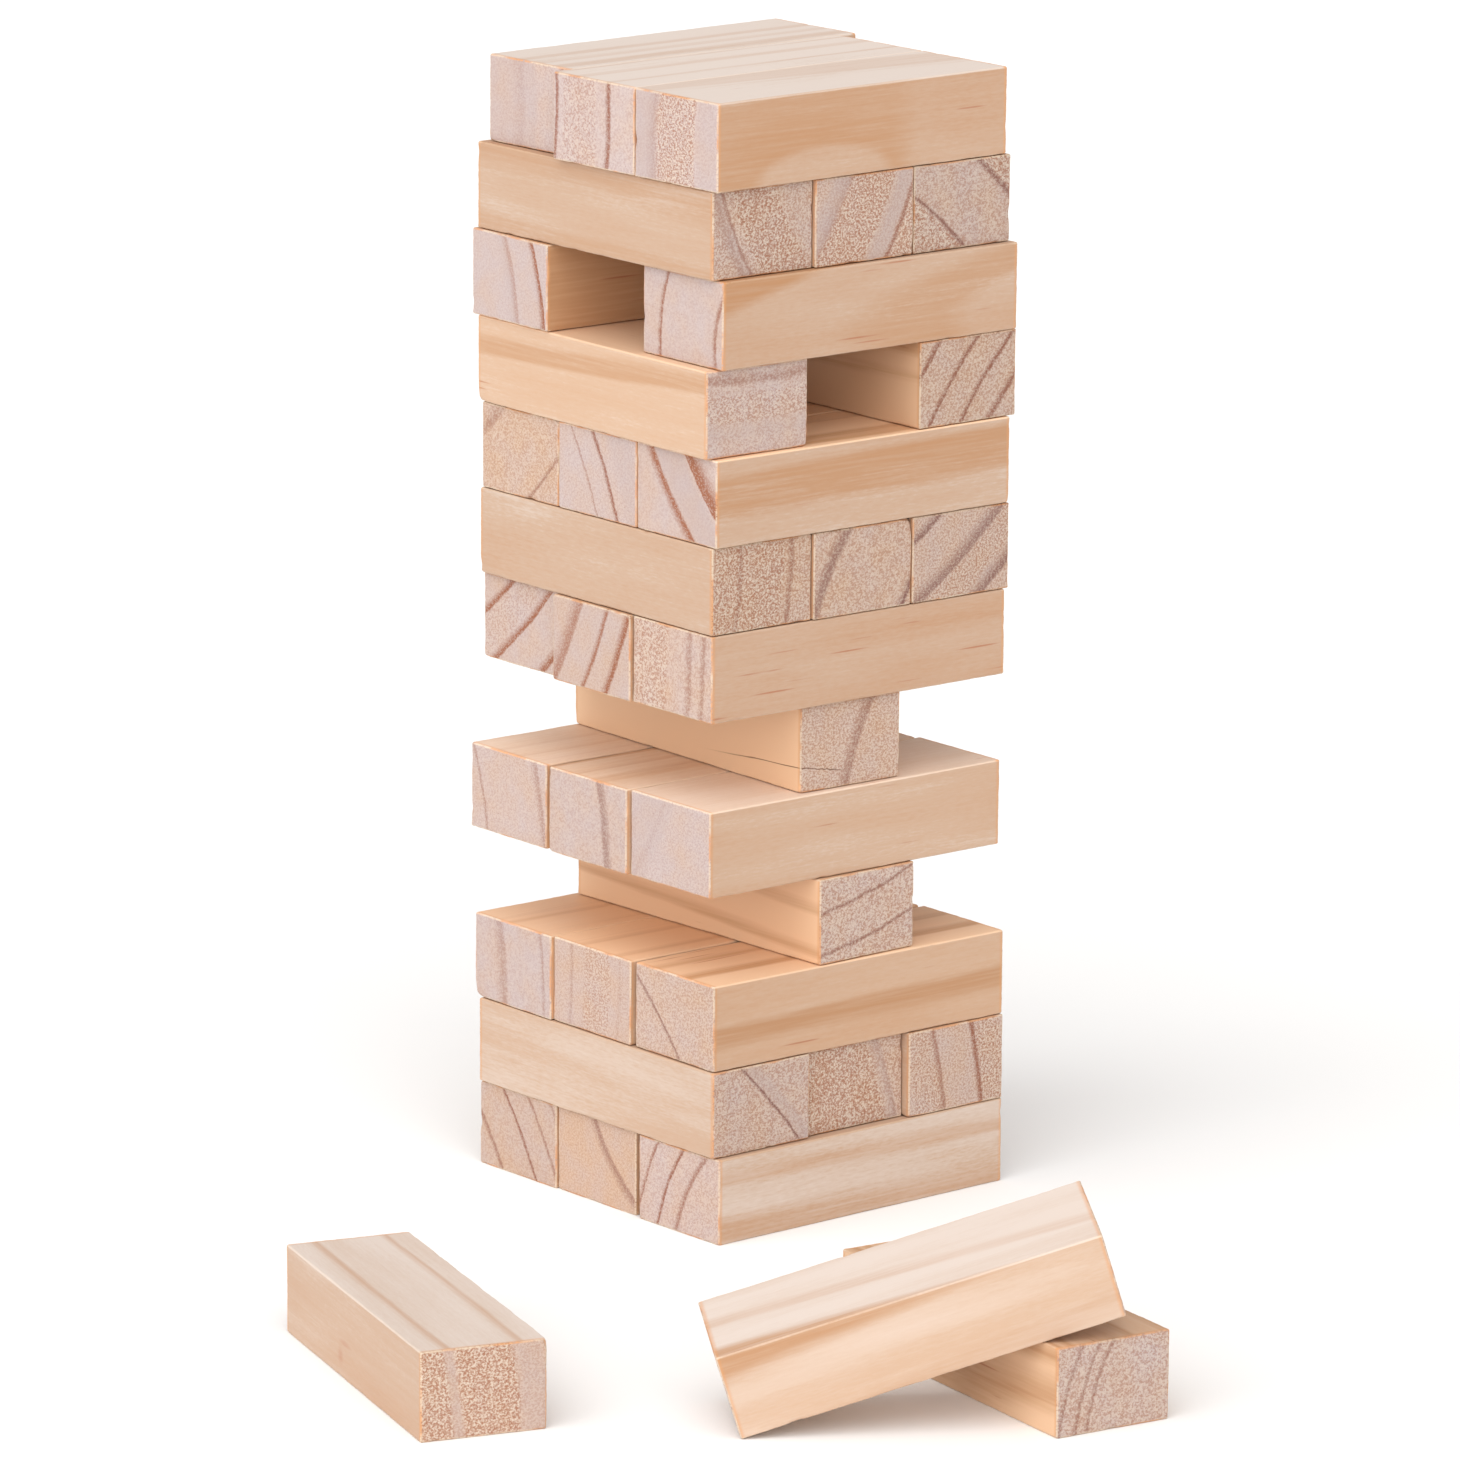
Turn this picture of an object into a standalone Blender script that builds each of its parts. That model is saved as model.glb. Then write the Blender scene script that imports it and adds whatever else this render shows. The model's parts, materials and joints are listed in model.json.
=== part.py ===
"""Giant tumbling tower: a stacking game of plain pine blocks, part way through play.

Run with: blender --background --python part.py, or from Blender's text editor.
Units are metres, +Z is up. The origin is on the floor under the middle of the tower.
Odd levels have their blocks along X, even levels have theirs along Y. Twelve full levels of
three make the whole set of 36 blocks. Six blocks have been drawn out of the tower: three of
them lie on top as level 13, and three lie loose on the floor in front.
"""

import math

import bpy
from mathutils import Matrix, Vector

# Driving dimensions of one block. All the blocks of the set are cut to one size.
BLOCK_LENGTH = 0.180
BLOCK_WIDTH = 0.060
BLOCK_THICKNESS = 0.042
ARRIS_RADIUS = 0.0015       # the sanded rounding of every long and end edge
ARRIS_SEGMENTS = 3

CONTACT_GAP = 0.0003        # between a block and the one it rests on
LEVEL_RISE = BLOCK_THICKNESS + CONTACT_GAP
SLOT_PITCH = 0.0605         # from block centre to block centre across a level

# Places across a level. The front and the left of the tower are at -Y and at -X.
SLOTS_ALONG_X = {"back": 1, "middle": 0, "front": -1}
SLOTS_ALONG_Y = {"left": -1, "middle": 0, "right": 1}

# How each block of the tower lies off its ideal place, because hands pushed it there:
# slot: (shift along its own length, shift across the level, turn in degrees, wood tone).
# The first entry is the bottom level. A slot that isn't listed is empty.
LEVELS = (
    {
        "back": (-0.0005, -0.0010, 0.5, "rose"),
        "middle": (0.0010, -0.0010, 0.5, "honey"),
        "front": (0.0005, -0.0035, 1.2, "rose"),
    },
    {
        "left": (-0.0025, -0.0010, 0.7, "cream"),
        "middle": (0.0010, -0.0010, 0.7, "honey"),
        "right": (-0.0030, -0.0010, 0.7, "rose"),
    },
    {
        "back": (-0.0020, 0.0005, -0.1, "cream"),
        "middle": (-0.0005, 0.0005, -0.1, "cream"),
        "front": (0.0005, -0.0015, -0.1, "honey"),
    },
    {
        "middle": (-0.0010, 0.0020, 2.0, "honey"),
    },
    {
        "back": (-0.0020, 0.0035, -0.4, "cream"),
        "middle": (-0.0030, 0.0015, 0.0, "rose"),
        "front": (-0.0010, 0.0010, 0.1, "cream"),
    },
    {
        "middle": (0.0035, -0.0005, -1.4, "honey"),
    },
    {
        "back": (0.0040, 0.0010, -0.4, "rose"),
        "middle": (-0.0010, 0.0010, -0.4, "rose"),
        "front": (0.0000, 0.0005, -0.4, "honey"),
    },
    {
        "left": (0.0010, 0.0010, -0.2, "honey"),
        "middle": (-0.0005, 0.0010, -0.2, "rose"),
        "right": (-0.0010, 0.0010, -0.2, "rose"),
    },
    {
        "back": (0.0010, -0.0010, -0.2, "rose"),
        "middle": (0.0005, -0.0010, -0.2, "cream"),
        "front": (0.0005, -0.0010, -0.2, "honey"),
    },
    {
        "left": (0.0015, -0.0010, -1.0, "cream"),
        "right": (-0.0015, 0.0030, 0.2, "rose"),
    },
    {
        "back": (-0.0020, 0.0020, -1.3, "rose"),
        "front": (0.0030, -0.0020, -0.3, "honey"),
    },
    {
        "left": (0.0015, 0.0000, 0.0, "honey"),
        "middle": (0.0000, 0.0000, 0.0, "rose"),
        "right": (0.0005, 0.0000, 0.0, "rose"),
    },
    {
        "back": (0.0045, -0.0005, 1.3, "cream"),
        "middle": (-0.0040, -0.0005, 1.3, "cream"),
        "front": (-0.0025, -0.0005, 1.3, "honey"),
    },
)

# The two loose blocks that lie flat on the floor: centre, and the way their length points.
LOOSE_LEFT_CENTRE = (-0.331, -0.177)
LOOSE_LEFT_HEADING = 73.0
LOOSE_RIGHT_CENTRE = (-0.1175, -0.337)
LOOSE_RIGHT_HEADING = 82.5

# The third loose block leans on the right one. Its underside lies along that block's upper
# left arris and slopes down from there, until its lowest corner stands on the floor.
LEAN_SLOPE = 19.2           # fall of the underside away from the arris
LEAN_TWIST = -25.0          # its length, measured in the sloping plane from the line of fall
LEAN_CORNER_ALONG = 0.070   # of the lowest corner, from the right block's near end

TONES = {
    "cream": (0.80, 0.66, 0.50),
    "honey": (0.78, 0.58, 0.38),
    "rose": (0.76, 0.61, 0.50),
}
WOOD_ROUGHNESS = 0.62


def clear_scene():
    """Remove every object, so that the script can be run again."""
    for old in list(bpy.data.objects):
        bpy.data.objects.remove(old, do_unlink=True)


def make_collection(name):
    collection = bpy.data.collections.new(name)
    bpy.context.scene.collection.children.link(collection)
    return collection


def make_wood(name, tone):
    """Bare sanded pine in one of the three tones of the set."""
    material = bpy.data.materials.new(name)
    material.use_nodes = True
    shader = material.node_tree.nodes["Principled BSDF"]
    shader.inputs["Base Color"].default_value = (*TONES[tone], 1.0)
    shader.inputs["Roughness"].default_value = WOOD_ROUGHNESS
    shader.inputs["Metallic"].default_value = 0.0
    material.diffuse_color = (*TONES[tone], 1.0)
    return material


def make_block(name, pose, tone, collection):
    """One block, with its origin at its centre and its length along its own X."""
    bpy.ops.mesh.primitive_cube_add(size=1.0)
    block = bpy.context.object
    block.name = name
    block.data.name = name
    block.data.transform(Matrix.Diagonal((BLOCK_LENGTH, BLOCK_WIDTH, BLOCK_THICKNESS, 1.0)))
    bevel = block.modifiers.new("eased_arrises", "BEVEL")
    bevel.width = ARRIS_RADIUS
    bevel.segments = ARRIS_SEGMENTS
    bevel.limit_method = "NONE"
    block.matrix_world = pose
    block.data.materials.append(make_wood(name + "_pine", tone))
    for owner in list(block.users_collection):
        owner.objects.unlink(block)
    collection.objects.link(block)
    return block


def flat_pose(centre_x, centre_y, underside, heading):
    """A block lying flat, its length turned by heading degrees from +X."""
    centre = Vector((centre_x, centre_y, underside + BLOCK_THICKNESS / 2))
    turn = Matrix.Rotation(math.radians(heading), 4, "Z")
    return Matrix.Translation(centre) @ turn


def build_level(number, slots, collection):
    """One level of the tower: up to three parallel blocks, crosswise to the level below."""
    underside = (number - 1) * LEVEL_RISE
    lies_along_x = number % 2 == 1
    places = SLOTS_ALONG_X if lies_along_x else SLOTS_ALONG_Y
    for slot, (along, across, turn, tone) in slots.items():
        offset = places[slot] * SLOT_PITCH + across
        if lies_along_x:
            pose = flat_pose(along, offset, underside, turn)
        else:
            pose = flat_pose(offset, along, underside, 90.0 + turn)
        make_block(f"level_{number:02d}_{slot}", pose, tone, collection)


def leaning_pose(support):
    """The pose of a block that leans on the support block's upper left arris."""
    arris_way = (support.to_3x3() @ Vector((1.0, 0.0, 0.0))).normalized()
    uphill = Vector((arris_way.y, -arris_way.x, 0.0))
    slope = math.radians(LEAN_SLOPE)
    fall = -uphill * math.cos(slope) - Vector((0.0, 0.0, math.sin(slope)))
    normal = arris_way.cross(fall).normalized()

    near_end = support @ Vector((-BLOCK_LENGTH / 2, BLOCK_WIDTH / 2, BLOCK_THICKNESS / 2))
    arris_point = near_end + arris_way * LEAN_CORNER_ALONG + normal * CONTACT_GAP
    corner = arris_point + fall * (arris_point.z / math.sin(slope))

    twist = math.radians(LEAN_TWIST)
    length_way = -fall * math.cos(twist) + arris_way * math.sin(twist)
    width_way = normal.cross(length_way)
    axes = Matrix((length_way, width_way, normal)).transposed()
    half_size = Vector((BLOCK_LENGTH, BLOCK_WIDTH, BLOCK_THICKNESS)) / 2
    return Matrix.Translation(corner + axes @ half_size) @ axes.to_4x4()


def build_loose_blocks(collection):
    """The three drawn blocks that lie in front of the tower."""
    left = flat_pose(*LOOSE_LEFT_CENTRE, 0.0, LOOSE_LEFT_HEADING)
    right = flat_pose(*LOOSE_RIGHT_CENTRE, 0.0, LOOSE_RIGHT_HEADING)
    make_block("loose_block_left", left, "cream", collection)
    make_block("loose_block_right", right, "honey", collection)
    make_block("loose_block_leaning", leaning_pose(right), "cream", collection)


def main():
    clear_scene()
    collection = make_collection("giant_tumbling_tower")
    for number, slots in enumerate(LEVELS, start=1):
        build_level(number, slots, collection)
    build_loose_blocks(collection)


main()
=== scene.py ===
"""Giant tumbling tower: 36 sawn and sanded pine blocks, part way through play.

Every block is one solid bar of pine, built here at its full detail in place of the plain bar of
the CAD frame: eased and worn arrises, nicks, sawn ends with torn grain, and wood whose growth
rings run through the whole bar, so that an end, the sides and the top of a block agree.
"""

import json
import math
from types import SimpleNamespace

import bpy
import numpy as np
from mathutils import Matrix, Vector


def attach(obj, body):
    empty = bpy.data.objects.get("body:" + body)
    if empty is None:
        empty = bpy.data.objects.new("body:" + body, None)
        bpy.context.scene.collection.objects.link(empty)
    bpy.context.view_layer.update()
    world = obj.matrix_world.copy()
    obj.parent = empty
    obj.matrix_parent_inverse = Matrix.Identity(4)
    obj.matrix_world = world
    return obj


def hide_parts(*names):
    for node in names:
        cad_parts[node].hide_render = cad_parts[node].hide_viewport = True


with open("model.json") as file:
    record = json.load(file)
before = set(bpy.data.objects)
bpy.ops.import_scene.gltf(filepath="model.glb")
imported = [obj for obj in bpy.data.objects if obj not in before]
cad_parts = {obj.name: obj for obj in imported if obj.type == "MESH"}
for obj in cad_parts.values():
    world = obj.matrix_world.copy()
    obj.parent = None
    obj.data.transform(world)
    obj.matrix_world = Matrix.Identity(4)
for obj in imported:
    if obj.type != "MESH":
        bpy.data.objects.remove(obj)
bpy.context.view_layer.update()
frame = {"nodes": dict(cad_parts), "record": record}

# One block, in millimetres: its own X runs along its length, Y across and Z up.
LENGTH, WIDTH, THICKNESS = 180.0, 60.0, 42.0
HALF = np.array((LENGTH, WIDTH, THICKNESS)) / 2
MM = 0.001
ARRIS_RADIUS = 1.05         # on average: it is uneven, and rounder where a block is worn

# ------------------------------------------------------------------ the wood of each block
# All in millimetres and degrees, on the block's near sawn end, seen from outside. A distance s
# is measured from the middle of that end at right angles to the growth rings, to the right.
#   lean   the way the rings run there: 0 upright, + leaning to the right, 90 level
#   pith   how far away the heart of the tree is: + at the left, - at the right
#   drift  how far the rings have moved to the right by the time they reach the far end
#   sway   how wavy the rings are
#   rings  (s, rise, fall, dark): dark late wood at s, fading over rise before it, fall after it
#   bands  (from, to, amount): tan wood, which shows on the long faces
#   sand   (from, to, amount): where the saw left the end torn and grainy
#   haze   (from, to, amount): smooth greyish wood on the end
#   arch   (centre, half length, half height): pale wood inside tan on the right-hand long face
#   marks  (x, y, z, half length, half height): a faint knot on a long face
#   splits (height, fall along x, fall along y, reach): a thin crack along the left long face
#   warm   tone of the end: 0 greyish lilac to 1 peach, partly its own tone and partly painted
#   shade, warmer on most blocks whose sawn ends face the darker right-hand side;  red: late wood
#   from 0 brown to 1 mauve
#   grit   how grainy the end is everywhere
#   tan    tone of the long faces: 0 pale cream to 1 tan;  top: the same for the upper face
#   gold_and_painted_light   golden wood on the sides, and on the upper face: partly the wood's
#   own colour, partly painted light that brightens sides and tops lying in shade in recesses
#   and tunnels
#   fibre  how much fine fibre shows on the long faces;  dash: how many fine resin dashes
#   light  brightness of the whole block: its own tone, and partly painted shade, lower on
#   several blocks whose sawn ends face the darker right-hand side;  painted_top_light: painted
#   light, more brightness for the upper face where it lies in shade under the blocks above
DEFAULTS = dict(
    lean=0, pith=150, drift=2, sway=1.0, rings=(), bands=(), sand=(), haze=(), arch=(), marks=(),
    splits=(), warm=0.4, red=0.4, grit=0.4, tan=0.4, top=0.5, gold_and_painted_light=(0.0, 0.0), fibre=1.0,
    dash=0.2, light=1.0, painted_top_light=1.0,
)
PINE = {
    "level_13_back": dict(
        lean=-1, pith=160, rings=((-6, 7, 4, 0.15), (25.5, 3.5, 1.6, 0.6)),
        bands=((-8, -2, 0.35), (5, 11, 0.25), (18, 25, 0.4)), haze=((-30, 6, 0.4),), warm=0.25,
        top=-0.2, dash=-0.5, light=1.02),
    "level_13_middle": dict(
        lean=2, pith=220, rings=((-27.5, 1, 2, 0.9), (11, 2.8, 1.8, 0.95)),
        bands=((-14, -8, 0.3),), sand=((-22, 2, 0.3),), warm=0.12, top=-0.3, dash=-0.5, light=1.04),
    "level_13_front": dict(
        lean=2, pith=-300, drift=20, rings=((-15, 7, 1, 0.3),), bands=((-45, -20, 0.3),),
        sand=((-14, 13, 0.65),), haze=((-30, -16, 0.6), (15, 29, 0.35)), arch=(67, 46, 21),
        warm=0.1, tan=0.6, top=-0.3, dash=-0.5, light=1.03),
    "level_12_left": dict(
        lean=-26, pith=-140, rings=((-20, 5, 3, 0.3), (-15.5, 1.6, 1.3, 0.6)),
        bands=((-25, -19, 0.5), (-38, -34, 0.45)), sand=((-10, 14, 1.0),),
        haze=((-21, -15, 0.5), (17, 30, 0.2)), warm=0.6, grit=0.9, tan=0.45, fibre=0.8, dash=-0.3,
        light=0.95),
    "level_12_middle": dict(
        lean=28, pith=200, rings=((-16, 6, 2, 0.3), (21.2, 2, 1.6, 0.85)),
        sand=((-15, 9, 0.95), (23, 35, 0.6)), haze=((-26, -16, 0.5), (11, 20, 0.6)), warm=0.6,
        grit=0.7, light=0.98),
    "level_12_right": dict(
        lean=-48, pith=160, rings=((-13.5, 1.6, 1.2, 0.95), (22, 2.4, 2, 0.9)),
        sand=((-36, -15, 0.5), (23, 35, 0.6)), warm=0.5, red=0.7, grit=0.8, light=0.91),
    # Its long face seen inside the tunnel of level 11 is set at full tan with a wide band, partly
    # painted shade: darker and more orange there.
    "level_11_back": dict(
        lean=-15, rings=((3, 4, 1.4, 0.4), (23.5, 4, 1, 1.0)), bands=((20, 38, 0.8),),
        haze=((-4, 3, 0.3),), warm=0.1, red=0.1, grit=0.3, tan=1.0, gold_and_painted_light=(0.5, 0.2), dash=0.8),
    "level_11_front": dict(
        lean=9, pith=-90, drift=-20, rings=((-15.5, 2.6, 1, 0.9), (25.5, 2.6, 1.2, 0.8)),
        bands=((15.5, 28.4, 1.0), (40, 47, 0.6)), warm=0.2, red=0.3, grit=0.3, tan=0.5, dash=0.6),
    "level_10_left": dict(
        lean=90, pith=260, drift=7.5, rings=((-15, 3, 3, 0.5),), bands=((-17, -8, 0.65),),
        sand=((-8, 5, 0.3),), haze=((6, 13, 0.3),), warm=0.3, grit=0.6, gold_and_painted_light=(0.25, 0.5),
        dash=0.5, light=0.99, painted_top_light=1.15),
    # Its left long face, seen inside the tunnel of level 10, is set at full tan, partly painted
    # shade: darker and more orange there.
    "level_10_right": dict(
        lean=37, pith=-260,
        rings=((-26.5, 2.8, 1.2, 1.0), (-8.4, 2.2, 1.1, 1.0), (8, 2.2, 1.2, 1.0),
               (23.4, 3.2, 1.6, 0.9)), bands=((-40, -33, 0.7),), warm=0.75, grit=0.85, tan=1.0,
        gold_and_painted_light=(0.9, 0.6), light=0.92, painted_top_light=1.15),
    "level_09_back": dict(
        lean=46, pith=200, rings=((-25, 6, 3, 0.45), (20, 2, 1, 0.7)), warm=0.85, grit=0.6,
        light=0.98),
    "level_09_middle": dict(
        lean=-26, pith=300, rings=((-8, 1.3, 0.9, 0.5), (6.8, 2.3, 1.1, 1.0)),
        bands=((6, 10, 0.6), (16, 20, 0.5)), haze=((14, 30, 0.35),), warm=0.2, top=0.2,
        gold_and_painted_light=(0, 0.9), painted_top_light=1.18),
    "level_09_front": dict(
        lean=-38, pith=-200, drift=3.6, sway=0.5,
        rings=((-4.2, 5.2, 2, 0.95), (17.2, 0.8, 10, 0.95)), bands=((17.4, 31, 0.85),),
        haze=((-2, 15, 0.5),), warm=0.25, red=0.0, grit=0.3, tan=0.35, top=0.2, gold_and_painted_light=(0, 0.9),
        painted_top_light=1.18),
    "level_08_left": dict(
        lean=5, pith=250, rings=((-13.5, 2.4, 1.4, 0.45), (17, 3.4, 1.6, 0.6)),
        sand=((-28, 12, 0.6),), warm=0.9, grit=0.95, dash=-0.5, light=0.94),
    "level_08_middle": dict(
        lean=30, pith=-160, rings=((-19, 6, 3.2, 0.7), (31, 4.4, 1, 1.0)), warm=0.75, red=0.85,
        grit=0.8, light=0.95),
    "level_08_right": dict(
        lean=52, pith=250,
        rings=((-24.5, 4.8, 1.4, 0.9), (1.6, 7, 2, 0.75), (23.5, 6.4, 1.8, 0.85)),
        sand=((3, 17, 0.3),), warm=0.65, red=0.85, grit=0.8, light=0.94),
    "level_07_back": dict(
        lean=48, pith=300, rings=((-19.5, 3.8, 1.2, 1.0), (2.6, 4, 1.2, 1.0), (26, 4.2, 2, 1.0)),
        sand=((-18, -2, 0.2),), warm=0.35, red=0.1, grit=0.35, light=0.98),
    "level_07_middle": dict(
        lean=25, pith=300, rings=((-15.5, 8, 2, 0.7), (4, 3, 1.1, 0.9), (19.2, 4.2, 1.8, 1.0)),
        warm=0.45, red=0.05, grit=0.35, light=0.97),
    "level_07_front": dict(
        lean=3, pith=400, rings=((13, 4.4, 1.8, 0.5), (23, 3, 2, 0.5)), sand=((-29, -4, 0.4),),
        warm=0.5, grit=0.5, tan=0.55, dash=1.3),
    "level_06_middle": dict(
        lean=20, pith=-130, rings=((3, 5.8, 2.6, 0.6),), splits=((-8.6, -0.065, 0.17, -30),),
        warm=0.7, red=0.6, grit=0.85, tan=0.7, gold_and_painted_light=(1.0, 0.5), light=0.99),
    "level_05_back": dict(
        lean=-13, pith=200, rings=((-20.5, 1.6, 1.2, 0.5), (25, 4.4, 1.6, 0.45)),
        bands=((-4, 0, 0.25), (12, 15, 0.3)), warm=0.35, top=0.1, gold_and_painted_light=(0.5, 0.35), painted_top_light=1.18),
    "level_05_middle": dict(
        lean=-9, pith=300, rings=((11.6, 2, 5, 0.6),),
        bands=((-27, -22, 0.8), (-8, -5, 0.5), (6, 10, 0.35)), warm=0.3, red=0.75, top=0.2,
        gold_and_painted_light=(0.5, 0.35), light=0.97, painted_top_light=1.18),
    "level_05_front": dict(
        lean=28, pith=180, rings=((-12, 3, 2, 0.12),), haze=((-32, -6, 0.3),), warm=0.15, tan=0.5,
        top=0.0, gold_and_painted_light=(0.1, 0.3), dash=0.7, painted_top_light=1.16),
    "level_04_middle": dict(
        lean=75, pith=260, drift=-10, rings=((-9.6, 1.6, 1, 0.8), (10.6, 1.7, 1, 0.8)),
        bands=((-14, -9, 0.5), (7, 11.5, 0.6)), warm=0.5, red=0.6, grit=0.95, tan=0.55,
        gold_and_painted_light=(1.0, 0.5)),
    "level_03_back": dict(
        lean=-6, pith=200, rings=((-7, 7, 2.6, 0.4), (24, 2.4, 1.2, 0.4)), bands=((-2, 3, 0.4),),
        warm=0.2, grit=0.35, gold_and_painted_light=(0.5, 0.75), light=0.97, painted_top_light=1.15),
    "level_03_middle": dict(
        lean=2, pith=200, rings=((-16, 2.2, 1.4, 0.3), (22, 3, 1, 0.15)),
        bands=((-12, -7, 0.35), (16, 21, 0.4)), sand=((-6, 14, 0.35),), warm=0.5, top=0.55,
        gold_and_painted_light=(0.5, 0.85), light=0.98, painted_top_light=1.17),
    "level_03_front": dict(
        lean=-42, pith=260, sway=0.6, rings=((-10, 1.8, 1, 0.8),),
        bands=((17.2, 23, 0.9), (2, 6, 0.6)), warm=0.6, red=0.7, grit=0.6, tan=0.6,
        gold_and_painted_light=(0.2, 0.8), dash=0.4, light=0.97, painted_top_light=1.17),
    "level_02_left": dict(
        lean=-43, pith=300, rings=((5.5, 1.2, 0.9, 1.0),), haze=((6, 13, 0.5),), warm=0.55,
        red=0.8, grit=0.85, tan=0.28, fibre=0.7, dash=-0.5, light=0.96),
    "level_02_middle": dict(
        lean=-20, pith=200, rings=((20, 4, 1, 0.25),), sand=((-34, 13, 0.95),),
        haze=((15, 21, 0.5),), warm=0.75, grit=0.95, light=0.98),
    "level_02_right": dict(
        lean=-10, pith=200, rings=((-9.6, 3.2, 1.4, 0.7), (13.4, 2.4, 1.8, 1.0)),
        sand=((-28, -11, 0.3), (15, 30, 0.5)), warm=0.6, red=0.3, grit=0.75, light=0.98),
    "level_01_back": dict(
        lean=-32, pith=300,
        rings=((-21, 2.4, 1.4, 0.7), (2.2, 1.8, 1, 1.0), (18.4, 1.8, 1, 0.7), (33, 2, 1, 0.5)),
        warm=0.65, light=0.93),
    "level_01_middle": dict(
        lean=-38, pith=-120, rings=((10.4, 5, 1.6, 0.7),), warm=0.85, red=0.6, light=0.98),
    "level_01_front": dict(
        lean=26, pith=-120, rings=((-23, 1.7, 1, 0.8), (-7.4, 2, 1, 1.0), (5.8, 3, 1.3, 0.75)),
        bands=((17.5, 21.5, 0.5), (30.5, 36, 0.6)), warm=0.35, grit=0.5, tan=0.15, dash=-0.3),
    "loose_block_left": dict(
        lean=-7, pith=400, drift=0, bands=((-15.5, -12, 0.6), (19, 22, 0.6)),
        sand=((-30, -16, 0.7), (-11, 16, 0.7)), haze=((-16, -11, 0.45), (17, 30, 0.45)),
        marks=((10, 30, -4, 11, 2.2), (16, 30, -11, 5, 6)), warm=0.8, grit=0.6, tan=0.42,
        top=-0.1, fibre=0.6, dash=-0.5),
    "loose_block_right": dict(
        lean=20, pith=-90, drift=4,
        rings=((-23.5, 2, 0.8, 0.6), (-15, 2, 0.8, 0.6), (-9, 2, 0.8, 0.6)),
        bands=((-36, -33, 0.9), (-30, -27, 0.9), (-3, 0, 0.8), (12, 15, 0.8)), warm=0.45, red=0.5,
        grit=0.85, tan=0.7, top=0.6, gold_and_painted_light=(0.9, 0.5), light=0.935),
    "loose_block_leaning": dict(
        lean=-36, pith=260, drift=10, sway=0.5, rings=((10.3, 4, 2, 0.2),),
        bands=((6, 12, 0.3), (29.5, 37, 0.9)), warm=0.5, tan=0.25, top=-0.15, gold_and_painted_light=(0.2, 0),
        fibre=0.45, dash=-0.5),
}

# Blocks whose corners are knocked or rubbed round: the signs of the corner's place, and the
# radius there in millimetres.
WORN = {
    "level_08_middle": (((-1, -1, 1), 3.2),),
    "level_03_back": (((-1, 1, -1), 3.0),),
    "level_10_left": (((1, 1, -1), 2.6),),
    "level_13_middle": (((-1, -1, 1), 1.8),),
}

LIGHT_LEVEL = 1.47          # how much brighter than white the floor is lit


def srgb(red, green, blue):
    """The colour of wood that looks like this in the scene's light. 255 is the floor's white."""
    parts = [c / 255 for c in (red, green, blue)]
    linear = [c / 12.92 if c <= 0.04045 else ((c + 0.055) / 1.055) ** 2.4 for c in parts]
    return (*(c / LIGHT_LEVEL for c in linear), 1.0)


END_LILAC = srgb(224, 204, 201)
END_PEACH = srgb(230, 193, 166)
HAZE = srgb(206, 187, 186)
LINE_BROWN = srgb(176, 106, 70)
LINE_MAUVE = srgb(150, 108, 100)
# torn end grain: partly the wood's own colour, partly painted light and shade of the torn fibres'
# relief
SAND_LIGHT = srgb(255, 236, 216)
SAND_DARK = srgb(190, 132, 102)
PORE = srgb(136, 98, 86)
# painted light: a highlight for the eased arrises, and an orange glow for them and for the long
# faces in the gaps beside the ends
ARRIS_HIGHLIGHT = srgb(255, 230, 200)
PAINTED_ORANGE_LIGHT = srgb(250, 176, 112)
# golden wood, partly painted light: brighter than the floor's white, to lift faces lying in shade
GOLD_AND_PAINTED_LIGHT = srgb(270, 224, 182)
PALE = srgb(255, 238, 226)
CREAM = srgb(234, 203, 178)
TAN = srgb(222, 170, 130)
BAND = srgb(216, 159, 111)
DASH = srgb(206, 132, 94)
SPLIT = srgb(120, 76, 50)
KNOT = srgb(214, 146, 114)

# Relief and waviness of the wood, in millimetres
RING_SWAY = 2.4             # slow waves of the growth rings along and across a block
RING_RIPPLE = 1.4           # and their small ripples
RAMP_REACH = 50.0           # the ring ramp runs over s from -50 to 50
RAMP_STOPS = 32             # as many as a colour ramp holds
SPLIT_HALF_WIDTH = 0.42
ARCH_DROP = 3.0             # the arch's centre lies this far below the long face's lower edge
KNOT_DEPTH = 4.0


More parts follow.
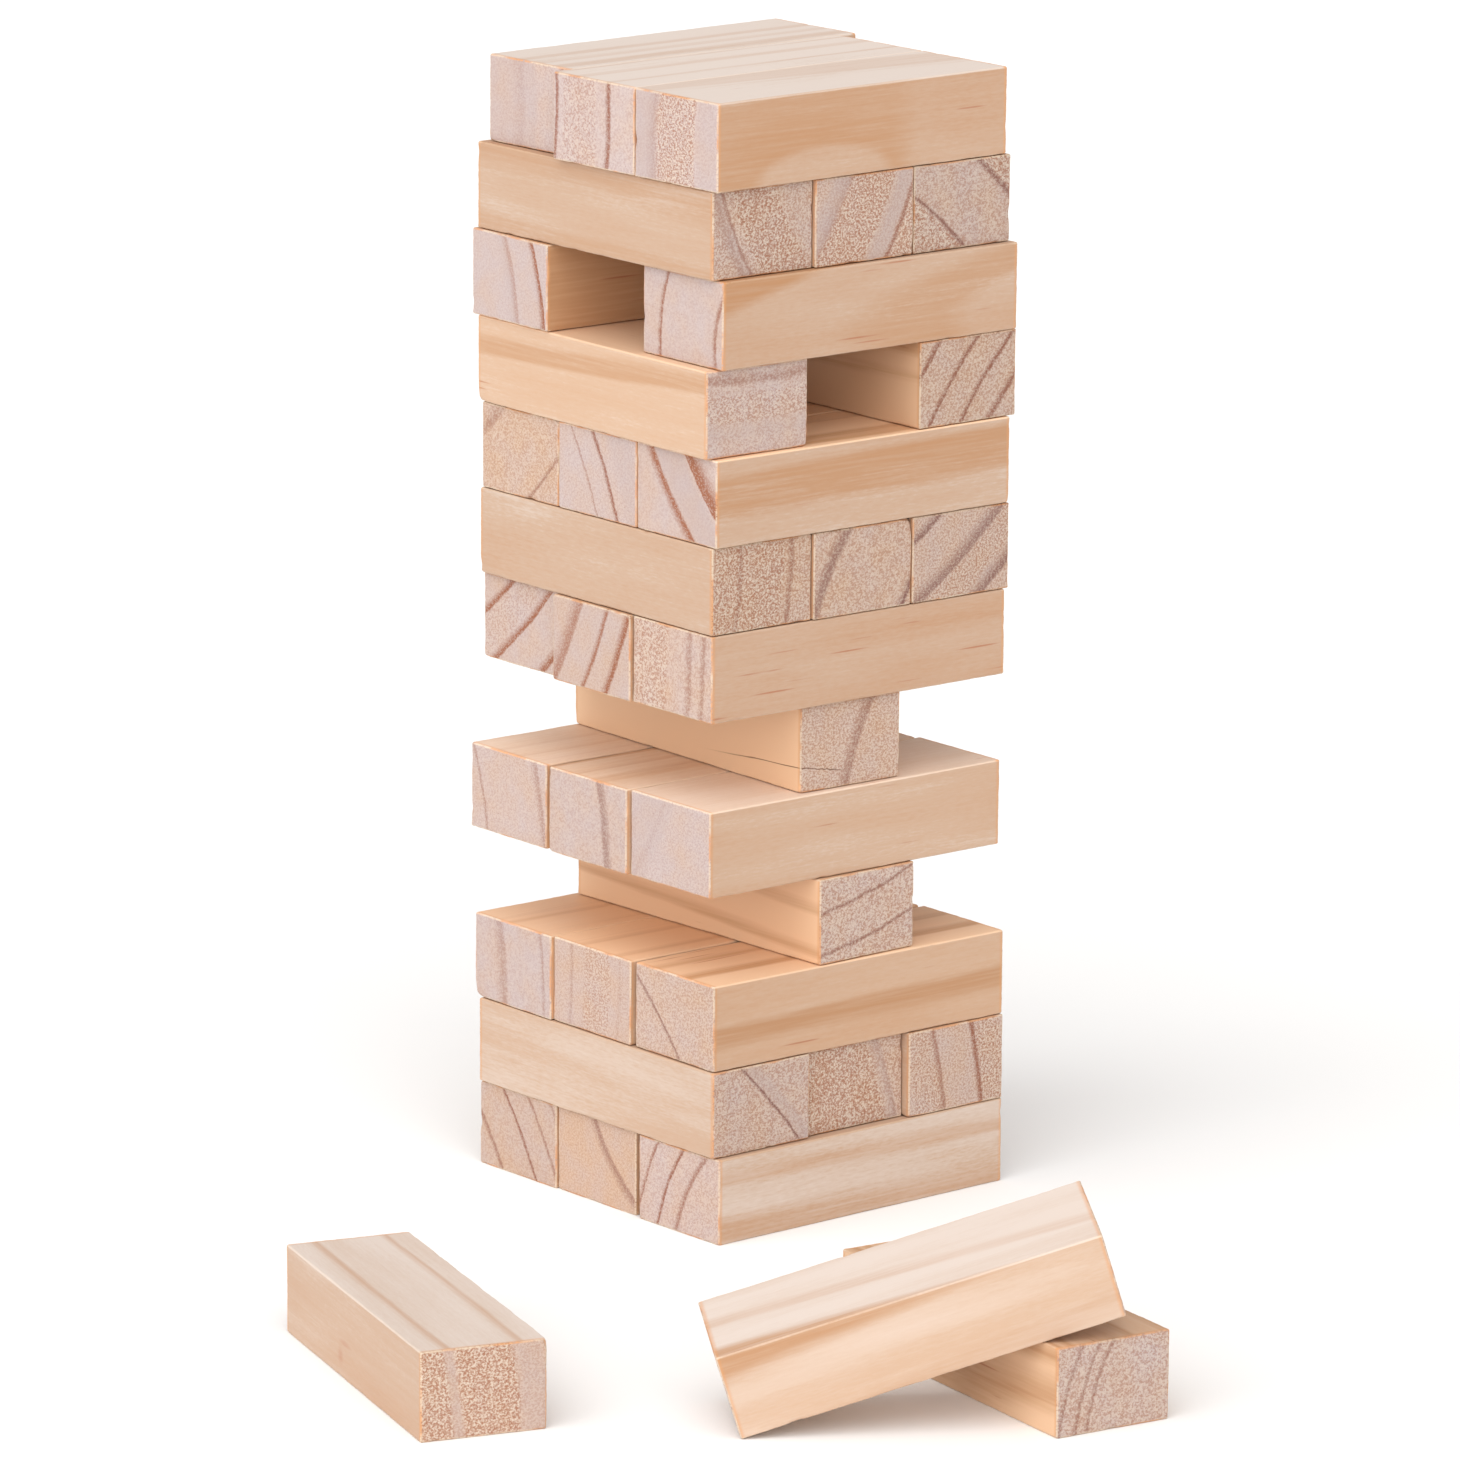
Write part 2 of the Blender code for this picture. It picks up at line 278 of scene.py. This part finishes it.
# ------------------------------------------------------------------ shader helper
class Net:
    """Adds nodes to one node tree. An input is a number, a tuple or another node's output."""

    def __init__(self, tree):
        self.tree = tree

    def put(self, kind, inputs=(), **settings):
        node = self.tree.nodes.new(kind)
        for key, value in settings.items():
            setattr(node, key, value)
        for slot, value in dict(inputs).items():
            if isinstance(value, bpy.types.NodeSocket):
                self.tree.links.new(value, node.inputs[slot])
            else:
                node.inputs[slot].default_value = value
        return node

    def math(self, operation, *values, clamp=False):
        node = self.put("ShaderNodeMath", enumerate(values), operation=operation, use_clamp=clamp)
        return node.outputs[0]

    def add(self, a, b):
        return self.math("ADD", a, b)

    def mul(self, a, b):
        return self.math("MULTIPLY", a, b)

    def line(self, value, factor, offset, clamp=False):
        """value * factor + offset"""
        return self.math("MULTIPLY_ADD", value, factor, offset, clamp=clamp)

    def sway(self, total, field, size):
        """total, moved up or down by a field of 0 to 1, over a range of this size."""
        return self.line(field, size, self.add(total, -size / 2))

    def step(self, value, low, high, out_low=0.0, out_high=1.0):
        """A smooth step from out_low at low to out_high at high."""
        inputs = {0: value, 1: low, 2: high, 3: out_low, 4: out_high}
        node = self.put("ShaderNodeMapRange", inputs, interpolation_type="SMOOTHSTEP")
        return node.outputs[0]

    def moved(self, vector, offset):
        node = self.put("ShaderNodeVectorMath", {0: vector, 1: offset}, operation="ADD")
        return node.outputs[0]

    def scaled(self, vector, factors):
        node = self.put("ShaderNodeVectorMath", {0: vector, 1: factors}, operation="MULTIPLY")
        return node.outputs[0]

    def length(self, vector):
        node = self.put("ShaderNodeVectorMath", {0: vector}, operation="LENGTH")
        return node.outputs["Value"]

    def noise(self, vector, factors, detail=2.0, roughness=0.5):
        inputs = {"Vector": self.scaled(vector, factors), "Scale": 1.0, "Detail": detail,
                  "Roughness": roughness}
        return self.put("ShaderNodeTexNoise", inputs).outputs[0]

    def cells(self, vector, factors):
        inputs = {"Vector": self.scaled(vector, factors), "Scale": 1.0, "Randomness": 1.0}
        return self.put("ShaderNodeTexVoronoi", inputs).outputs["Distance"]

    def mix(self, factor, a, b):
        node = self.put("ShaderNodeMix", {0: factor, 6: a, 7: b}, data_type="RGBA")
        return node.outputs[2]

    def blend(self, factor, a, b):
        node = self.put("ShaderNodeMix", {0: factor, 2: a, 3: b}, data_type="FLOAT")
        return node.outputs[0]


# ------------------------------------------------------------------ pine
def places_in_block(net, number):
    """Where a point of a block's surface lies, in millimetres, and which face it is on."""
    place = net.put("ShaderNodeTexCoord").outputs["Object"]
    at = net.scaled(place, (1 / MM,) * 3)
    x, y, z = net.put("ShaderNodeSeparateXYZ", {0: at}).outputs
    own = net.moved(at, (7.3 * number, 13.7 * number, 29.1 * number))   # a pattern of its own
    insides = []            # how far inside the block's edges the point is
    for value, half in ((x, HALF[0]), (y, HALF[1]), (z, HALF[2])):
        insides.append(net.math("SUBTRACT", float(half), net.math("ABSOLUTE", value)))
    in_x, in_y, in_z = insides
    lower = net.math("MINIMUM", in_x, in_y)
    upper = net.math("MAXIMUM", in_x, in_y)
    from_edge = net.math("MAXIMUM", lower, net.math("MINIMUM", upper, in_z))
    return SimpleNamespace(
        at=at, own=own, x=x, y=y, z=z, in_x=in_x, from_edge=from_edge,
        along=net.add(x, LENGTH / 2),
        is_end=net.step(in_x, 0.5, 1.1, 1.0, 0.0),
        is_top=net.step(z, float(HALF[2]) - 1.1, float(HALF[2]) - 0.5),
        sway=net.noise(own, (0.008, 0.035, 0.035), detail=1.0),
        ripple=net.noise(own, (0.03, 0.3, 0.3), detail=2.0),
        thread=net.noise(own, (0.018, 0.6, 0.6), detail=3.0, roughness=0.6),
        fibre=net.noise(own, (0.2, 1.1, 1.1), detail=2.0, roughness=0.6),
        speck=net.noise(own, (0.5, 0.85, 1.0), detail=2.0, roughness=0.6))


def ring_profile(wood):
    """The stops of the ring ramp: s, then how much late wood, sand, haze and tan there is."""
    shapes = []
    for at, rise, fall, dark in wood["rings"]:
        slope = ((at - rise, 0.0), (at - 0.45 * rise, 0.55 * dark), (at - 0.15 * rise, dark),
                 (at + 0.4 * fall, dark), (at + 1.1 * fall, 0.0))
        shapes.append((0, slope))
    for channel, key, soft in ((1, "sand", 1.2), (2, "haze", 2.4), (3, "bands", 2.0)):
        for start, end, amount in wood[key]:
            shapes.append((channel, ((start - soft, 0.0), (start + soft, amount),
                                     (end - soft / 2, amount), (end + soft / 2, 0.0))))
    places = sorted({round(s, 2) for _, shape in shapes for s, _ in shape})
    stops = []
    for s in places:
        values = [0.0, 0.0, 0.0, 0.0]
        for channel, shape in shapes:
            across = [point[0] for point in shape]
            heights = [point[1] for point in shape]
            values[channel] += float(np.interp(s, across, heights, left=0.0, right=0.0))
        stops.append((s, [min(1.0, v) for v in values]))
    assert 2 <= len(stops) <= RAMP_STOPS, "too many zones for one colour ramp"
    return stops


def ring_zones(net, here, wood):
    """How much late wood, torn grain, haze and tan band there is, from the distance s."""
    lean = math.radians(wood["lean"])
    pith = wood["pith"]
    sideways = net.line(here.y, -1.0, pith * math.cos(lean))
    upward = net.add(here.z, -pith * math.sin(lean))
    spoke = net.put("ShaderNodeCombineXYZ", {1: sideways, 2: upward}).outputs[0]
    sign = math.copysign(1.0, pith)
    s = net.line(net.length(spoke), sign, -sign * abs(pith))
    s = net.line(here.along, -wood["drift"] / LENGTH, s)
    s = net.sway(s, here.sway, RING_SWAY * wood["sway"])
    s = net.sway(s, here.ripple, RING_RIPPLE)
    ramp = net.put("ShaderNodeValToRGB", {0: net.line(s, 0.5 / RAMP_REACH, 0.5)})
    stops = ring_profile(wood)
    elements = ramp.color_ramp.elements
    while len(elements) < len(stops):
        elements.new(0.5)
    for element, (place, values) in zip(elements, stops):
        element.position = 0.5 + 0.5 * place / RAMP_REACH
        element.color = values
    late, sand, haze = net.put("ShaderNodeSeparateColor", {0: ramp.outputs[0]}).outputs
    return late, sand, haze, ramp.outputs[1]


def sawn_end(net, here, wood, late, sand, haze):
    """The colour of a sawn end, how torn it is, and its grain."""
    clouds = net.noise(here.own, (0.0, 0.06, 0.06), detail=2.0)
    fine = net.noise(here.own, (0.8, 2.2, 2.5), detail=2.0, roughness=0.6)
    grain = net.line(fine, 0.4, net.mul(here.speck, 0.6))
    light_grain = net.step(grain, 0.50, 0.57)
    dark_grain = net.step(grain, 0.50, 0.43)
    # The ends' peach warmth is partly the wood's own tone and partly painted shade: warmer on most
    # blocks whose ends face the darker, warmer shaded right-hand side.
    warmth = net.line(clouds, 1.3, wood["warm"] - 0.65, clamp=True)
    colour = net.mix(warmth, END_LILAC, END_PEACH)
    colour = net.mix(net.mul(haze, 0.8), colour, HAZE)
    calm = net.line(haze, -0.75, 1.0)
    torn = net.math("ADD", net.mul(sand, 0.9), net.mul(calm, wood["grit"] * 0.75), clamp=True)
    # The torn grain's light and dark specks are partly the wood's grain and partly painted light
    # and shade standing in for the relief of its torn fibres.
    colour = net.mix(net.mul(sand, 0.3), colour, SAND_DARK)
    colour = net.mix(net.mul(torn, net.mul(dark_grain, 0.9)), colour, SAND_DARK)
    colour = net.mix(net.mul(torn, net.mul(light_grain, 0.8)), colour, SAND_LIGHT)
    ring_line = net.mix(wood["red"], LINE_BROWN, LINE_MAUVE)
    broken = net.line(light_grain, -0.45, 1.0)
    colour = net.mix(net.mul(late, broken), colour, ring_line)
    pore = net.step(net.cells(here.own, (0.3, 0.5, 0.5)), 0.14, 0.06)
    return net.mix(net.mul(pore, 0.4), colour, PORE), torn, grain


def arched_band(net, here, wood, band):
    """The tan band, with pale wood cut out of it by an arch on the right-hand long face."""
    centre, half_long, half_high = wood["arch"]
    oval = net.put("ShaderNodeCombineXYZ", {
        0: net.line(here.along, 1 / half_long, -centre / half_long),
        1: net.line(here.z, 1 / half_high, (HALF[2] + ARCH_DROP) / half_high)}).outputs[0]
    out = net.sway(net.length(oval), here.sway, 0.25)
    tan = net.mul(net.step(out, 0.8, 1.05), net.step(out, 2.6, 1.0, 0.6, 1.0))
    far_end = centre + half_long
    tan = net.mul(tan, net.step(here.along, far_end + 16, far_end - 8))
    tan = net.line(tan, 0.85, 0.15)
    on_right = net.step(here.y, 1.5 - HALF[1], 0.8 - HALF[1])
    return net.blend(on_right, band, net.mul(tan, 0.8))


def long_face(net, here, wood, late, band):
    """The colour of the sanded long faces and of the top."""
    slow = net.noise(here.own, (0.006, 0.05, 0.05), detail=2.0)
    tone = net.blend(here.is_top, wood["tan"] - 0.05, wood["top"] - 0.05)
    tone = net.add(tone, net.line(slow, 0.9, -0.45))
    tone = net.sway(tone, here.thread, 0.35 * wood["fibre"])
    tone = net.sway(tone, here.fibre, 0.5 * wood["fibre"])
    colour = net.mix(net.line(tone, 1.7, 0.45, clamp=True), PALE, CREAM)
    colour = net.mix(net.line(tone, 1.3, -0.2, clamp=True), colour, TAN)
    # Golden wood, partly painted light that brightens sides and tops lying in shade in recesses and
    # tunnels.
    colour = net.mix(net.blend(here.is_top, *wood["gold_and_painted_light"]), colour, GOLD_AND_PAINTED_LIGHT)
    if wood["arch"]:
        band = arched_band(net, here, wood, band)
    streaky = net.step(here.thread, 0.3, 0.62)
    soft = net.mul(net.line(streaky, 0.3, 0.12), late)
    wide = net.mul(net.line(streaky, 0.3, 0.6), band)
    colour = net.mix(net.math("MAXIMUM", soft, wide), colour, BAND)
    dashes = net.step(net.cells(here.own, (0.012, 0.34, 0.34)), 0.2, 0.08)
    scarce = -0.2 * wood["dash"]
    patch = net.step(net.noise(here.own, (0.02, 0.05, 0.05), detail=1.0), 0.62 + scarce,
                     0.72 + scarce)
    return net.mix(net.mul(dashes, net.mul(patch, 0.8)), colour, DASH)


def flaws(net, here, wood, colour):
    """The faint knots and the thin splits of a block, over its colour."""
    for mark_x, mark_y, mark_z, half_long, half_high in wood["marks"]:
        offset = net.moved(here.at, (-mark_x, -mark_y, -mark_z))
        offset = net.scaled(offset, (1 / half_long, 1 / KNOT_DEPTH, 1 / half_high))
        knot = net.step(net.length(offset), 1.0, 0.1)
        colour = net.mix(net.mul(knot, 0.4), colour, KNOT)
    for height, fall_x, fall_y, reach in wood["splits"]:
        level = net.line(here.along, fall_x, height)
        level = net.line(net.add(here.y, -WIDTH / 2), fall_y, level)
        level = net.sway(level, here.ripple, RING_RIPPLE)
        gap = net.math("ABSOLUTE", net.math("SUBTRACT", here.z, level))
        crack = net.step(gap, SPLIT_HALF_WIDTH, 0.1)
        crack = net.mul(crack, net.step(here.x, reach + 20, reach - 30))
        crack = net.mul(crack, net.step(here.y, 0.0, 12.0))
        colour = net.mix(net.mul(crack, 0.85), colour, SPLIT)
    return colour


def painted_arris_light(net, here, colour):
    """Painted highlights, whitish or orange, on the eased arrises, and a painted orange glow on the
    long faces beside the sawn ends, for light coming into the gaps between blocks.
    """
    # Painted orange light on the long faces just beside the sawn ends, which line the gaps between
    # blocks.
    painted_gap_glow = net.mul(net.step(here.in_x, 2.8, 1.0), net.math("SUBTRACT", 1.0, here.is_end))
    colour = net.mix(net.mul(painted_gap_glow, 0.5), colour, PAINTED_ORANGE_LIGHT)
    # Painted highlight along the arrises: whitish, and orange in patches near the ends.
    near_end = net.step(here.in_x, 4.0, 1.5)
    highlight_tint = net.step(net.noise(here.own, (0.03, 0.05, 0.05)), 0.46, 0.58)
    highlight_colour = net.mix(net.mul(near_end, highlight_tint), ARRIS_HIGHLIGHT, PAINTED_ORANGE_LIGHT)
    arris_highlight = net.mul(net.step(here.from_edge, 1.1, 0.4), net.step(here.speck, 0.28, 0.5))
    arris_highlight = net.mul(arris_highlight, net.line(near_end, 0.5, 0.25))
    return net.mix(arris_highlight, colour, highlight_colour)


def pine_material(name, wood, number):
    """One block's own wood: the sawn ends, the long faces and the arrises."""
    material = bpy.data.materials.new(name)
    material.use_nodes = True
    shader = material.node_tree.nodes["Principled BSDF"]
    net = Net(material.node_tree)
    here = places_in_block(net, number)
    late, sand, haze, band = ring_zones(net, here, wood)
    end, torn, grain = sawn_end(net, here, wood, late, sand, haze)
    side = long_face(net, here, wood, late, band)
    colour = flaws(net, here, wood, net.mix(here.is_end, side, end))
    # Painted highlights on the arrises and painted light in the gaps between blocks.
    colour = painted_arris_light(net, here, colour)
    # Painted shade and painted light: the block's brightness is partly lowered as painted shade on
    # blocks whose ends face the darker right-hand side, and the upper face is made brighter where
    # it lies in shade under the blocks above.
    level = net.blend(here.is_top, wood["light"], wood["light"] * wood["painted_top_light"])
    net.tree.links.new(net.scaled(colour, level), shader.inputs["Base Color"])

    rough = net.blend(here.is_end, net.line(here.thread, 0.2, 0.46), net.line(grain, 0.3, 0.62))
    net.tree.links.new(net.line(late, -0.08, rough), shader.inputs["Roughness"])
    shader.inputs["Specular IOR Level"].default_value = 0.4

    side_relief = net.line(here.thread, 0.05, net.mul(here.fibre, 0.03))
    end_relief = net.mul(net.line(torn, 0.5, 0.06), grain)
    relief = net.line(late, 0.03, net.blend(here.is_end, side_relief, end_relief))
    bump = net.put("ShaderNodeBump", {"Height": relief, "Strength": 0.7, "Distance": MM})
    net.tree.links.new(bump.outputs[0], shader.inputs["Normal"])
    return material


# ------------------------------------------------------------------ block shape
NICKS = 7
NICK_SIZES = (1.2, 3.0)
NICK_DEPTHS = (0.5, 1.5)
RADIUS_LIMITS = (0.5, 3.0)
WORN_REACH = 5.0
DEEPEST_TEAR = 0.3
DEEPEST_HOLLOW = 0.12


def spaced(half, middle_step):
    """Places across one side of a block: close together at both edges, even in the middle."""
    edge = np.array((0.0, 0.12, 0.28, 0.48, 0.75, 1.1, 1.6, 2.3, 3.3))
    rest = 2 * (half - edge[-1])
    count = int(round(rest / middle_step))
    middle = np.linspace(-half + edge[-1], half - edge[-1], count + 1)[1:-1]
    return np.concatenate((-half + edge, middle, half - edge[::-1]))


class Waves:
    """A smooth random field made of plane waves, about -1 to 1."""

    def __init__(self, random, wavelength, count=22):
        ways = random.normal(size=(count, 3))
        ways /= np.linalg.norm(ways, axis=1)[:, None]
        spread = random.uniform(0.7, 1.5, size=(count, 1))
        self.waves = ways * spread * (2 * math.pi / wavelength)
        self.phases = random.uniform(0, 2 * math.pi, size=count)

    def __call__(self, points):
        total = np.sin(points @ self.waves.T + self.phases).sum(axis=1)
        return total / math.sqrt(len(self.phases) / 2) * 0.6


def swell(points, spot, size):
    """1 at the spot, falling away around it."""
    distance = np.linalg.norm(points - spot, axis=1)
    return np.exp(-((distance / size) ** 2))


def arris_radii(points, random, worn):
    """How round the arrises are near each point: uneven, with nicks and worn corners."""
    slow, quick = Waves(random, 26.0), Waves(random, 5.0)
    radius = ARRIS_RADIUS + 0.24 * slow(points) + 0.2 * quick(points)
    for _ in range(NICKS):
        axis = random.integers(3)
        spot = HALF * random.choice((-1, 1), size=3)
        spot[axis] = random.uniform(-1, 1) * HALF[axis]
        size = random.uniform(*NICK_SIZES)
        radius += random.uniform(*NICK_DEPTHS) * swell(points, spot, size)
    radius = np.clip(radius, *RADIUS_LIMITS)
    for signs, rounding in worn:
        spot = HALF * np.array(signs)
        radius += (rounding - ARRIS_RADIUS) * swell(points, spot, WORN_REACH)
    return radius


def uneven_faces(points, out, random, grit):
    """Hollow the faces by a few hundredths of a millimetre, and tear the sawn ends more.

    Nothing stands proud of the cut size: every unevenness goes inwards.
    """
    facing = np.abs(out)
    torn = Waves(random, 2.9, 40)(points * (0, 1, 1))
    saw = Waves(random, 9.0, 12)(points * (0, 1, 1))
    depth = (0.07 + 0.05 * torn + 0.02 * saw) * (0.5 + grit)
    hollow = 0.05 + 0.04 * Waves(random, 70.0, 9)(points)
    depths = (np.clip(depth, 0, DEEPEST_TEAR), *(np.clip(hollow, 0, DEEPEST_HOLLOW),) * 2)
    for axis, (deep, straight) in enumerate(zip(depths, (0.9, 0.98, 0.98))):
        points[:, axis] -= np.sign(points[:, axis]) * (facing[:, axis] > straight) * deep


def surface_grid(xs, ys, zs):
    """The points of a box's six faces on this grid, and the quads between them, facing out."""
    shape = (len(xs), len(ys), len(zs))
    on_face = np.zeros(shape, bool)
    for axis in range(3):
        cut = [slice(None)] * 3
        for end in (0, -1):
            cut[axis] = end
            on_face[tuple(cut)] = True
    ids = np.full(shape, -1)
    ids[on_face] = np.arange(on_face.sum())
    i, j, k = np.nonzero(on_face)
    points = np.column_stack((xs[i], ys[j], zs[k]))
    quads = []
    for axis, (a, b) in ((0, (2, 1)), (1, (0, 2)), (2, (1, 0))):
        for end in (0, -1):
            sheet = np.moveaxis(ids, (axis, a, b), (0, 1, 2))[end]
            corners = [sheet[:-1, :-1], sheet[1:, :-1], sheet[1:, 1:], sheet[:-1, 1:]]
            if end == -1:
                corners.reverse()
            quads.append(np.stack([c.ravel() for c in corners], axis=1))
    return points, np.concatenate(quads)


def block_mesh(name, random, wood):
    """A bar with uneven eased arrises, small nicks and torn, very slightly hollow sawn ends."""
    points, quads = surface_grid(spaced(HALF[0], 3.0), spaced(HALF[1], 1.35),
                                 spaced(HALF[2], 1.35))
    radius = arris_radii(points, random, WORN.get(name, ()))
    core = HALF - radius[:, None]
    inner = np.clip(points, -core, core)
    out = points - inner
    out /= np.linalg.norm(out, axis=1)[:, None]
    points = inner + out * radius[:, None]
    uneven_faces(points, out, random, wood["grit"])

    mesh = bpy.data.meshes.new(name)
    mesh.vertices.add(len(points))
    mesh.vertices.foreach_set("co", (points * MM).ravel())
    mesh.loops.add(quads.size)
    mesh.loops.foreach_set("vertex_index", quads.ravel())
    mesh.polygons.add(len(quads))
    mesh.polygons.foreach_set("loop_start", np.arange(0, quads.size, 4))
    mesh.polygons.foreach_set("use_smooth", np.ones(len(quads), bool))
    mesh.update(calc_edges=True)
    mesh.validate()
    return mesh


# ------------------------------------------------------------------ the blocks in their places
FAR_WAY = Vector((0.8, 0.6, 0.0))   # a block's far end is the one that lies more this way


def pose_of(node):
    """Where a CAD block lies: its centre, with its length, width and thickness as the axes."""
    mesh = frame["nodes"][node].data
    ways = []               # each direction that faces look in, either way, with their area
    for polygon in mesh.polygons:
        for way in ways:
            if abs(way[0].dot(polygon.normal)) > 0.9999:
                way[1] += polygon.area
                break
        else:
            ways.append([polygon.normal.copy(), polygon.area])
    ways.sort(key=lambda way: -way[1])
    thick_way, length_way = ways[0][0], ways[2][0]
    if length_way.dot(FAR_WAY) < 0:
        length_way.negate()
    if thick_way.z < 0:
        thick_way.negate()
    width_way = thick_way.cross(length_way).normalized()
    axes = Matrix((length_way, width_way, length_way.cross(width_way))).transposed()
    spans = np.array([v.co for v in mesh.vertices]) @ np.array(axes)
    middle = Vector((spans.max(axis=0) + spans.min(axis=0)) / 2)
    return Matrix.Translation(axes @ middle) @ axes.to_4x4()


FIRST_SEED = 4100
body_of = {}
for body, members in frame["record"]["behaviour"]["bodies"].items():
    for member in members:
        body_of[member] = body

for number, node in enumerate(sorted(frame["nodes"]), start=1):
    wood = {**DEFAULTS, **PINE[node]}
    random = np.random.default_rng(FIRST_SEED + number)
    piece = bpy.data.objects.new("pine_" + node, block_mesh(node, random, wood))
    bpy.context.scene.collection.objects.link(piece)
    piece.matrix_world = pose_of(node)
    piece.data.materials.append(pine_material("wood_" + node, wood, number))
    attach(piece, body_of[node])
    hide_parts(node)


# ------------------------------------------------------------------ floor, light and camera
def plain_material(name, colour, roughness):
    material = bpy.data.materials.new(name)
    material.use_nodes = True
    shader = material.node_tree.nodes["Principled BSDF"]
    shader.inputs["Base Color"].default_value = colour
    shader.inputs["Roughness"].default_value = roughness
    shader.inputs["Specular IOR Level"].default_value = 0.2
    return material


bpy.ops.mesh.primitive_grid_add(x_subdivisions=8, y_subdivisions=8, size=40.0)
floor = bpy.context.object
floor.name = "floor"
floor.data.materials.append(plain_material("pale_floor", (0.93, 0.93, 0.93, 1.0), 0.9))

# soft light from all round, and a backdrop as white as the floor for what is seen past its edge
world = bpy.data.worlds.new("studio")
bpy.context.scene.world = world
world.use_nodes = True
studio = Net(world.node_tree)
soft_light = world.node_tree.nodes["Background"]
soft_light.inputs["Color"].default_value = (1.0, 0.985, 0.97, 1.0)
soft_light.inputs["Strength"].default_value = 0.56
backdrop = studio.put("ShaderNodeBackground", {"Color": (1.0, 1.0, 1.0, 1.0), "Strength": 1.0})
seen = studio.put("ShaderNodeLightPath").outputs["Is Camera Ray"]
both = studio.put("ShaderNodeMixShader", {0: seen, 1: soft_light.outputs[0],
                                          2: backdrop.outputs[0]})
studio.tree.links.new(both.outputs[0], world.node_tree.nodes["World Output"].inputs["Surface"])

# one very wide soft light from high on the left, so that the floor is even to the horizon
SUN_WAY = Vector((0.60, 0.36, -0.63))
sun_data = bpy.data.lights.new("studio_light", "SUN")
sun_data.energy = 3.1
sun_data.angle = math.radians(90.0)
sun_data.color = (1.0, 0.99, 0.98)
sun = bpy.data.objects.new("studio_light", sun_data)
bpy.context.scene.collection.objects.link(sun)
sun.rotation_euler = SUN_WAY.to_track_quat("-Z", "Y").to_euler()

CAMERA_PLACE = Vector((-2.7092, -3.3383, 1.2364))
CAMERA_TARGET = Vector((-0.0040, 0.0032, 0.2217))
CAMERA_ROLL = math.radians(0.403)
view = CAMERA_TARGET - CAMERA_PLACE
camera_data = bpy.data.cameras.new("camera")
camera_data.lens = 224.87
camera_data.sensor_width = 36.0
camera_data.clip_start = 0.05
camera_data.clip_end = 100.0
camera = bpy.data.objects.new("camera", camera_data)
bpy.context.scene.collection.objects.link(camera)
turn = view.to_track_quat("-Z", "Y").to_matrix().to_4x4() @ Matrix.Rotation(CAMERA_ROLL, 4, "Z")
camera.matrix_world = Matrix.Translation(CAMERA_PLACE) @ turn
bpy.context.scene.camera = camera

bpy.context.scene.view_settings.view_transform = "Standard"
